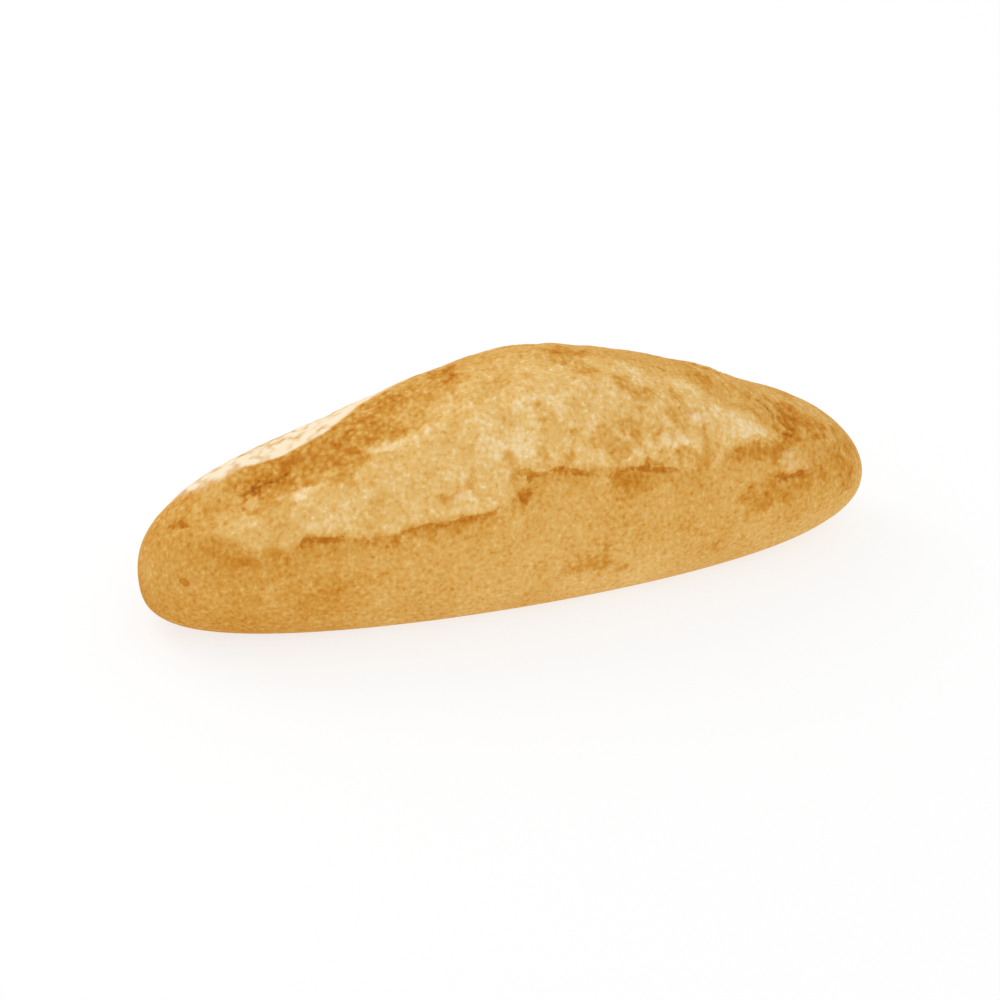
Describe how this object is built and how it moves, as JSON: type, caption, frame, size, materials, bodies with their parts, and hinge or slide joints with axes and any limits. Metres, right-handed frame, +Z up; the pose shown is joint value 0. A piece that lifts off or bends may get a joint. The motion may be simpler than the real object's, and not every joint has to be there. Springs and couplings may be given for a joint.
{
  "type": "mini baguette",
  "caption": "Short spindle-shaped bread loaf with a flat base, a browned crust and a long slash burst open along its top, for eating split as a sandwich or beside a meal.",
  "frame": {"origin": "on the resting plane, under the middle of the loaf's box", "axes": "+X along the loaf toward the end with the short second slash, +Z up, -Y toward the open lip of the burst"},
  "size_m": [0.16, 0.056, 0.0462],
  "materials": {
    "crust": "dry matte baked crust"
  },
  "bodies": {
    "root": {"loaf": "crust"}
  },
  "joints": []
}
